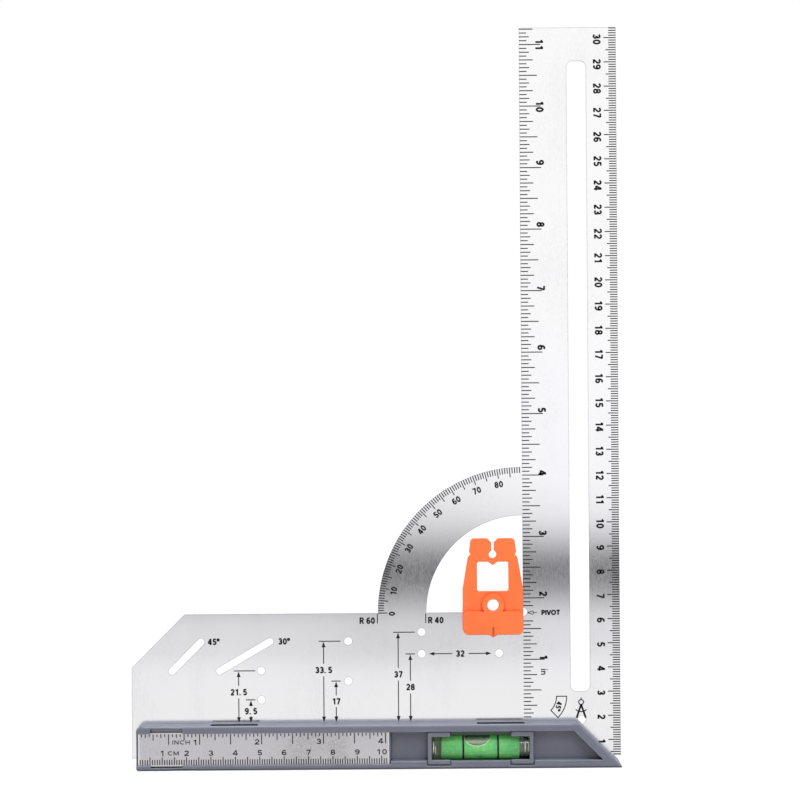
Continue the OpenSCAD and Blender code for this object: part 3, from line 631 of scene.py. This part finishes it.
def dimension(bm, x, height, reach, text, text_height, gap):
    """A height above the stop face: two arrows, the figure between them and the line at the top."""
    head = 2.3
    head_w = 1.7
    top = STOP_Z + height
    text_z = STOP_Z + text_height
    ribbon(bm, [(x - 2.0, top), (reach, top)], LINE, SHEET_FRONT)
    arrow_head(bm, (x, top - LINE / 2), 1, head, head_w, SHEET_FRONT)
    arrow_head(bm, (x, STOP_Z + 0.05), -1, head, head_w, SHEET_FRONT)
    if top - LINE / 2 - head > text_z + gap:
        ribbon(bm, [(x, text_z + gap), (x, top - head)], LINE, SHEET_FRONT)
    if STOP_Z + head < text_z - gap:
        ribbon(bm, [(x, STOP_Z + head), (x, text_z - gap)], LINE, SHEET_FRONT)
    word(bm, text, (x, text_z), FIGURE, SHEET_FRONT)


def span(bm, x0, x1, z, text, gap):
    """A width between two columns of holes, with an arrow at each end."""
    head = 2.2
    half = 0.8
    centre = (x0 + x1) / 2
    flat_face(bm, [(x0, z), (x0 + head, z - half), (x0 + head, z + half)], SHEET_FRONT)
    flat_face(bm, [(x1, z), (x1 - head, z + half), (x1 - head, z - half)], SHEET_FRONT)
    ribbon(bm, [(x0 + head, z), (centre - gap, z)], LINE, SHEET_FRONT)
    ribbon(bm, [(centre + gap, z), (x1 - head, z)], LINE, SHEET_FRONT)
    word(bm, text, (centre, z), FIGURE, SHEET_FRONT)


def figures():
    """The distances from the stop face to the pencil holes, and between their columns."""
    bm = bmesh.new()
    dimension(bm, -56.8, 21.5, -49.9, "21. 5", 12.7, 2.6)
    dimension(bm, -51.8, 9.5, -49.9, "9. 5", 4.8, 2.0)
    dimension(bm, -21.6, 33.5, -14.6, "33. 5", 21.6, 2.6)
    dimension(bm, -16.5, 17.0, -14.6, "17", 8.6, 2.4)
    dimension(bm, 9.25, 37.0, 16.2, "37", 19.6, 2.6)
    dimension(bm, 14.25, 28.0, 16.2, "28", 14.3, 2.6)
    span(bm, 22.0, 47.8, STOP_Z + 28.0, "32", 3.4)
    word(bm, "45°", (-67.0, STOP_Z + 33.6), FIGURE, SHEET_FRONT)
    word(bm, "30°", (-37.9, STOP_Z + 33.6), FIGURE, SHEET_FRONT)
    return printed(bm, "gauge_figures", "square", ink)


def radius_labels():
    """R 60 and R 40 beside the ring's two radii, each with its line."""
    bm = bmesh.new()
    for radius, side, text in [(60.0, -1, "R 60"), (40.0, 1, "R 40")]:
        x = BLADE_X0 - radius - 0.25
        ribbon(bm, [(x, FOOT_TOP - 0.4), (x, FOOT_TOP - 4.3)], LINE, SHEET_FRONT)
        anchor = 1.0 if side < 0 else 0.0
        place = (x + side * 0.9, FOOT_TOP - 3.1)
        word(bm, text, place, FIGURE, SHEET_FRONT, anchor=anchor)
    return printed(bm, "radius_labels", "square", ink)


def pivot_sign(bm):
    """The word with its open arrow, which points at the notch."""
    z = FOOT_TOP - 0.3
    x = BLADE_X0
    word(bm, "PIVOT", (x + 11.45, z), 2.05, SHEET_FRONT, narrow=1.06, weight=0.31)
    for side in (-1, 1):
        barb = (x + 4.0, z + side * 0.7)
        ribbon(bm, [(x + 1.9, z), barb], 0.34, SHEET_FRONT)
        ribbon(bm, [barb, (x + 4.5, z)], 0.34, SHEET_FRONT)
    ribbon(bm, [(x + 4.5, z), (x + 5.9, z)], 0.26, SHEET_FRONT)


def mitre_sign(bm):
    """A sector of a ring with its angle, above the mitre."""
    line = 0.42
    centre = (66.4, 28.3)
    outer = arc_points(centre, 12.4, 0, -45)
    inner = arc_points(centre, 8.2, -45, 0)
    ribbon(bm, outer + inner, line, SHEET_FRONT, closed=True)
    word(bm, "45°", (75.4, 24.15), 2.15, SHEET_FRONT, -104, weight=0.25)


def compass_sign(bm):
    """A pair of compasses above the hole for its point."""
    top = (84.75, 25.85)
    ribbon(bm, ring_points(top, 1.05, 8), 0.46, SHEET_FRONT, closed=True)
    ribbon(bm, [(top[0], top[1] + 1.1), (top[0], top[1] + 1.9)], 0.42, SHEET_FRONT)
    joint = (top[0], top[1] - 1.25)
    flat_face(bm, ring_points(joint, 0.5, 8), SHEET_FRONT)
    for side in (-1, 1):
        foot = (top[0] + side * 1.9, 19.3)
        ribbon(bm, [(joint[0] + side * 0.1, joint[1]), foot], 0.82, SHEET_FRONT)
    ribbon(bm, arc_points((top[0], 25.1), 3.2, -135, -45), 0.46, SHEET_FRONT)


def signs():
    """The pivot's label, the mitre sign and the compass sign."""
    bm = bmesh.new()
    pivot_sign(bm)
    mitre_sign(bm)
    compass_sign(bm)
    return printed(bm, "signs", "square", ink)


# Scales of the depth rule

def rule_scale():
    """Sixteenths of an inch along the rule's top edge and millimetres along its bottom edge."""
    bm = bmesh.new()
    last = 5.0
    top = RULE_MIDDLE + RULE_HALF - 0.15
    bottom = RULE_MIDDLE - RULE_HALF + 0.15
    lengths = {1: 1.15, 2: 1.5, 4: 2.6, 8: 4.4, 16: 4.4}
    for i in range(1, 66):
        x = RULE_ZERO + i * INCH / 16
        step = max(s for s in lengths if i % s == 0)
        if x < last:
            ribbon(bm, [(x, top), (x, top - lengths[step])], 0.4, RULE_FRONT)
    for i in range(1, 104):
        x = RULE_ZERO + i
        length = 3.2 if i % 5 == 0 else 2.2
        if x < last:
            ribbon(bm, [(x, bottom), (x, bottom + length)], 0.4, RULE_FRONT)
    style = {"narrow": 1.6, "weight": 0.2}
    for inch in range(1, 5):
        place = (RULE_ZERO + inch * INCH - 1.9, RULE_MIDDLE + 2.95)
        word(bm, str(inch), place, 2.2, RULE_FRONT, **style)
    word(bm, "INCH", (RULE_ZERO + 17.8, RULE_MIDDLE + 2.95), 1.7, RULE_FRONT, **style)
    for centimetre in range(1, 11):
        place = (RULE_ZERO + centimetre * 10, RULE_MIDDLE - 1.5)
        word(bm, str(centimetre), place, 2.2, RULE_FRONT, **style)
    word(bm, "CM", (RULE_ZERO + 14.6, RULE_MIDDLE - 1.5), 1.7, RULE_FRONT, **style)
    return printed(bm, "rule_scale", "rule", ink)


inch_scale()
centimetre_scale()
protractor_scale()
figures()
radius_labels()
signs()
rule_scale()


# Vial: the fluid, and the bubble, glints and shade painted as they look through the tube

tube_low, tube_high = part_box("vial_tube")
TUBE_X0 = tube_low[0] / MM
TUBE_X1 = tube_high[0] / MM
TUBE_Y = (tube_low[1] + tube_high[1]) / 2 / MM
TUBE_Z = (tube_low[2] + tube_high[2]) / 2 / MM
TUBE_R = (tube_high[2] - tube_low[2]) / 2 / MM
# The fluid's radius and the length of the tube's solid ends
CORE_R = 3.9
END_WALL = 4.15


def seen_through_tube(height):
    """The angle on the fluid's surface that shows at a height over the tube's middle line.
    The tube bends the view, so that the fluid fills its whole width."""
    share = max(-1.0, min(1.0, height / TUBE_R))
    return asin(share) - asin(share / GLASS) + asin(share * TUBE_R / GLASS / CORE_R)


def on_core(x, radius, turn):
    """A point at x on a cylinder round the tube's axis; turn is 0 at the front, pi / 2 at the top."""
    return (x, TUBE_Y - radius * cos(turn), TUBE_Z + radius * sin(turn))


def core_patch(bm, columns, radius, rows=6):
    """A patch on the fluid's surface, from columns of (x, lowest angle, highest angle)."""
    grid = []
    for x, low, high in columns:
        turns = [low + (high - low) * i / rows for i in range(rows + 1)]
        grid.append([bm.verts.new(on_core(x, radius, turn)) for turn in turns])
    for left, right in zip(grid, grid[1:]):
        for i in range(rows):
            bm.faces.new([left[i], right[i], right[i + 1], left[i + 1]])


def thin_skin(obj, thickness):
    """Gives a patch a thickness that reaches inwards."""
    skin = obj.modifiers.new("skin", "SOLIDIFY")
    skin.thickness = thickness * MM
    skin.offset = -1
    return obj


def vial_filling():
    """The green fluid: a rod that fills the bore."""
    bm = bmesh.new()
    steps = 48
    rings = []
    for x in (TUBE_X0 + END_WALL, TUBE_X1 - END_WALL):
        turns = [2 * pi * i / steps for i in range(steps)]
        rings.append([bm.verts.new(on_core(x, CORE_R, turn)) for turn in turns])
    left, right = rings
    for i in range(steps):
        j = (i + 1) % steps
        bm.faces.new([left[i], right[i], right[j], left[j]])
    bm.faces.new(left)
    bm.faces.new(list(reversed(right)))
    obj = finish_mesh(bm, "vial_filling", "square", fluid, smooth=True)
    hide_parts("vial_fluid")


def bubble():
    """The air bubble: a dark bowl of painted shade at the fluid's top, with a painted highlight on its
    lower edge.
    """
    bubble_low, bubble_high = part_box("vial_bubble")
    middle = (bubble_low[0] + bubble_high[0]) / 2 / MM
    half = (bubble_high[0] - bubble_low[0]) / 2 / MM
    # The bubble shows from the tube's top down to this depth
    top = TUBE_R
    depth = 3.9
    steps = 20
    inside = []
    painted_edge = []
    for i in range(steps + 1):
        place = -cos(pi * i / steps)
        lowest = top - depth * sqrt(max(0.0, 1 - place * place))
        x = middle + place * half
        inside.append((x, seen_through_tube(lowest), radians(110)))
        painted_edge.append((x, seen_through_tube(lowest - 0.3), seen_through_tube(lowest + 0.15)))
    bm = bmesh.new()
    core_patch(bm, inside, CORE_R + 0.05)
    body = thin_skin(finish_mesh(bm, "bubble_shade_paint", "bubble", bubble_shade_paint, smooth=True), 0.04)
    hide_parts("vial_bubble")
    bm = bmesh.new()
    core_patch(bm, painted_edge, CORE_R + 0.07, 1)
    painted_rim = thin_skin(finish_mesh(bm, "bubble_highlight", "bubble", bubble_highlight, smooth=True), 0.04)


def cement_lines():
    """Painted glints: thin pale lines in the tube's closed ends."""
    bm = bmesh.new()
    # Where each line starts, its width and the angles it reaches from and to
    lines = [
        (TUBE_X0 + 0.55, 0.35, -30, 42), (TUBE_X0 + 1.35, 0.3, -38, 15),
        (TUBE_X1 - 1.95, 0.4, -32, 40), (TUBE_X1 - 0.5, 0.2, -25, 30),
    ]
    for x, width, low, high in lines:
        ends = [(x, radians(low), radians(high)), (x + width, radians(low + 6), radians(high - 5))]
        core_patch(bm, ends, CORE_R)
    obj = thin_skin(finish_mesh(bm, "vial_painted_glints", "square", glint_paint, smooth=True), 0.05)


def cement_beds():
    """Painted shade, tinted green, behind the tube's two closed ends."""
    bm = bmesh.new()
    for x0, x1 in ((TUBE_X0, TUBE_X0 + END_WALL), (TUBE_X1 - END_WALL, TUBE_X1)):
        ends = [(x0 + 0.15, radians(112), radians(248)), (x1 - 0.05, radians(112), radians(248))]
        core_patch(bm, ends, TUBE_R - 0.1, 12)
    obj = thin_skin(finish_mesh(bm, "vial_end_shades", "square", end_shade, smooth=True), 0.05)


vial_filling()
bubble()
cement_lines()
cement_beds()


# Stage: floor, reflection card, world, lamps, camera

def stage_piece(name, corners, material):
    """A flat piece of the studio, its corners in metres."""
    mesh = bpy.data.meshes.new(name)
    mesh.from_pydata(corners, [], [(0, 1, 2, 3)])
    mesh.materials.append(material)
    obj = bpy.data.objects.new(name, mesh)
    scene.collection.objects.link(obj)
    return obj


# How bright the floor looks in the steel
GLOSSY_GLOW = 0.90


def sees_white(tree):
    """1 for camera, glossy and transmission rays, 0 for the light that falls on the object."""
    rays = tree.nodes.new("ShaderNodeLightPath")
    direct = product(
        tree, rays.outputs["Is Camera Ray"], rays.outputs["Is Transmission Ray"], "MAXIMUM"
    )
    return product(tree, direct, rays.outputs["Is Glossy Ray"], "MAXIMUM"), rays


def floor_material():
    """A white floor that keeps a faint shadow."""
    material, tree, shader, where = new_material("studio_floor")
    grain = noise(tree, where, 400, (1, 1, 1), 2.0)
    tree.links.new(
        two_tone(tree, grain, (0.49, 0.49, 0.49), (0.51, 0.51, 0.51)), shader.inputs["Base Color"]
    )
    shader.inputs["Roughness"].default_value = 0.9
    shader.inputs["Specular IOR Level"].default_value = 0.0
    seen, rays = sees_white(tree)
    glow = tree.nodes.new("ShaderNodeEmission")
    # The glow rises with the distance, as the lamps' light falls off there
    away = tree.nodes.new("ShaderNodeVectorMath")
    away.operation = "LENGTH"
    tree.links.new(where.outputs["Object"], away.inputs[0])
    level = tree.nodes.new("ShaderNodeMix")
    tree.links.new(rays.outputs["Is Glossy Ray"], level.inputs["Factor"])
    tree.links.new(spread_to(tree, away.outputs["Value"], 1.12, 1.38, 0.4, 1.3), level.inputs[2])
    level.inputs[3].default_value = GLOSSY_GLOW
    tree.links.new(level.outputs[0], glow.inputs["Strength"])
    blend = tree.nodes.new("ShaderNodeMixShader")
    tree.links.new(product(tree, seen, 0.75), blend.inputs[0])
    tree.links.new(shader.outputs[0], blend.inputs[1])
    tree.links.new(glow.outputs[0], blend.inputs[2])
    tree.links.new(blend.outputs[0], tree.nodes["Material Output"].inputs["Surface"])
    return material


# The camera's place, the card's plane and the heights on the sheet that mirror its two ends
CAMERA_X = 10.85
CAMERA_Y = -930.5
CAMERA_Z = 156.2
CARD_Y = -200.0
CARD_FROM = 38.5
CARD_TO = 190.0


def card_height(z):
    """Where the card mirrors in the sheet at height z, seen from the camera."""
    return z + (z - CAMERA_Z) * (CARD_Y / CAMERA_Y)


def card_material():
    """A strip that darkens towards its middle, as a gap between two soft lights."""
    material, tree, _, where = new_material("reflection_card")
    split = tree.nodes.new("ShaderNodeSeparateXYZ")
    tree.links.new(where.outputs["Object"], split.inputs["Vector"])
    low = card_height(CARD_FROM) * MM
    high = card_height(CARD_TO) * MM
    place = spread_to(tree, split.outputs["Z"], 0.0, 1.0, low, high)
    ramp = tree.nodes.new("ShaderNodeValToRGB")
    # Heights on the sheet and how bright the card looks there
    tones = [
        (40.0, 0.93), (45.5, 0.80), (49.0, 0.70), (56.0, 0.82), (62.0, 0.74), (67.0, 0.55),
        (73.0, 0.27), (79.0, 0.12), (84.0, 0.15), (89.0, 0.38), (95.0, 0.66), (103.0, 0.9),
        (120.0, 0.98), (189.0, 1.0),
    ]
    stops = ramp.color_ramp.elements
    while len(stops) < len(tones):
        stops.new(0.5)
    for stop, (z, tone) in zip(stops, tones):
        stop.position = (card_height(z) * MM - low) / (high - low)
        stop.color = (tone, tone, min(1.0, tone * 1.02 + 0.005), 1)
    tree.links.new(place, ramp.inputs["Fac"])
    glow = tree.nodes.new("ShaderNodeEmission")
    tree.links.new(ramp.outputs["Color"], glow.inputs["Color"])
    # The card is a little darker where the ring mirrors it
    right = spread_to(tree, split.outputs["X"], 0.88, 1.0, 0.03, 0.075)
    left = spread_to(tree, split.outputs["X"], 1.0, 0.88, -0.05, -0.005)
    side = product(tree, left, right, "MAXIMUM")
    tree.links.new(side, glow.inputs["Strength"])
    tree.links.new(glow.outputs[0], tree.nodes["Material Output"].inputs["Surface"])
    return material


stage_piece("studio_floor", [(-3, -3, 0), (3, -3, 0), (3, 3, 0), (-3, 3, 0)], floor_material())
card_y = CARD_Y * MM
card_low = card_height(CARD_FROM) * MM
card_high = card_height(CARD_TO) * MM
card = stage_piece(
    "reflection_card",
    [(-1, card_y, card_low), (1, card_y, card_low), (1, card_y, card_high), (-1, card_y, card_high)],
    card_material(),
)
card.visible_camera = False
card.visible_diffuse = False
card.visible_transmission = False
card.visible_shadow = False

world = bpy.data.worlds.new("studio")
scene.world = world
world.use_nodes = True
sky = world.node_tree
sky_light = sky.nodes["Background"]
sky_light.inputs["Color"].default_value = (1, 1, 1, 1)
sky_level = spread_to(sky, sees_white(sky)[0], 0.35, 1.0, 0.0, 1.0)
sky.links.new(sky_level, sky_light.inputs["Strength"])


def area_lamp(name, place, target, size, power):
    """A soft lamp that looks from place to target, in metres."""
    light = bpy.data.lights.new(name, "AREA")
    light.shape = "RECTANGLE"
    light.size = size[0]
    light.size_y = size[1]
    light.energy = power
    lamp = bpy.data.objects.new(name, light)
    scene.collection.objects.link(lamp)
    lamp.location = place
    look = Vector(target) - Vector(place)
    lamp.rotation_euler = look.to_track_quat("-Z", "Y").to_euler()
    lamp.visible_glossy = False
    return lamp


area_lamp("key_lamp", (0.5, -0.9, 1.1), (0, 0, 0.1), (0.7, 0.7), 9.0)
area_lamp("top_lamp", (-0.2, -0.2, 1.3), (0, 0, 0.05), (1.0, 0.4), 21.0)

camera_data = bpy.data.cameras.new("camera")
camera_data.sensor_width = 36.0
camera_data.lens = 101.27
camera_data.clip_start = 0.01
camera = bpy.data.objects.new("camera", camera_data)
scene.collection.objects.link(camera)
camera.location = (CAMERA_X * MM, CAMERA_Y * MM, CAMERA_Z * MM)
camera.rotation_euler = (radians(90 - 0.3), radians(0.44), 0)
scene.camera = camera

scene.view_settings.view_transform = "Standard"
